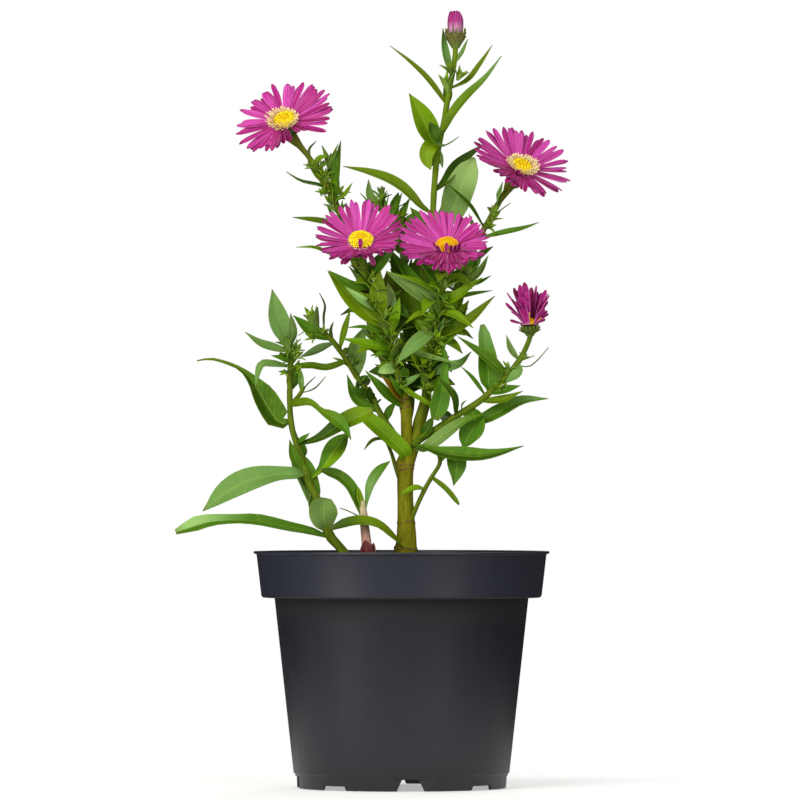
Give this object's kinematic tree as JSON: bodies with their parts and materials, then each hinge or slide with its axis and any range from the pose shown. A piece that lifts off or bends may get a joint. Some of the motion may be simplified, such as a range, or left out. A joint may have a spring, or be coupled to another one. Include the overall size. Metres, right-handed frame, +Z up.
{
  "type": "potted flowering aster plant",
  "caption": "Leafy garden perennial with magenta daisy flowers and yellow discs, grown in a round tapered nursery pot with a deep rim; it stands on its foot ring.",
  "frame": {"origin": "on the ground under the middle of the whole potted plant's outline; the pot's axis is 12.4 mm further towards +X", "axes": "+Z up from the ground, -Y towards the viewer in front, +X to the viewer's right"},
  "size_m": [0.1724, 0.13, 0.3418],
  "materials": {
    "pot_plastic": "satin",
    "potting_soil": "matte",
    "woody_stem": "satin",
    "leaf": "satin",
    "petal": "matte",
    "disc_florets": "matte"
  },
  "bodies": {
    "root": {"pot": "pot_plastic", "soil": "potting_soil", "main_stem": "woody_stem", "left_shoot": "leaf", "seedling": "leaf", "middle_left_shoot": "leaf", "left_twig": "leaf", "right_twig": "leaf", "right_branch": "leaf", "bloom_5_rays": "petal", "bloom_5_disc": "disc_florets", "bloom_1_stem": "leaf", "bloom_1_rays": "petal", "bloom_1_disc": "disc_florets", "bloom_2_stem": "leaf", "bloom_2_rays": "petal", "bloom_2_disc": "disc_florets", "bloom_3_stem": "leaf", "bloom_3_rays": "petal", "bloom_3_disc": "disc_florets", "bloom_4_stem": "leaf", "bloom_4_rays": "petal", "bloom_4_disc": "disc_florets", "back_bud_shoot": "leaf", "bud_stem": "leaf", "bud_rays": "petal"}
  },
  "joints": []
}
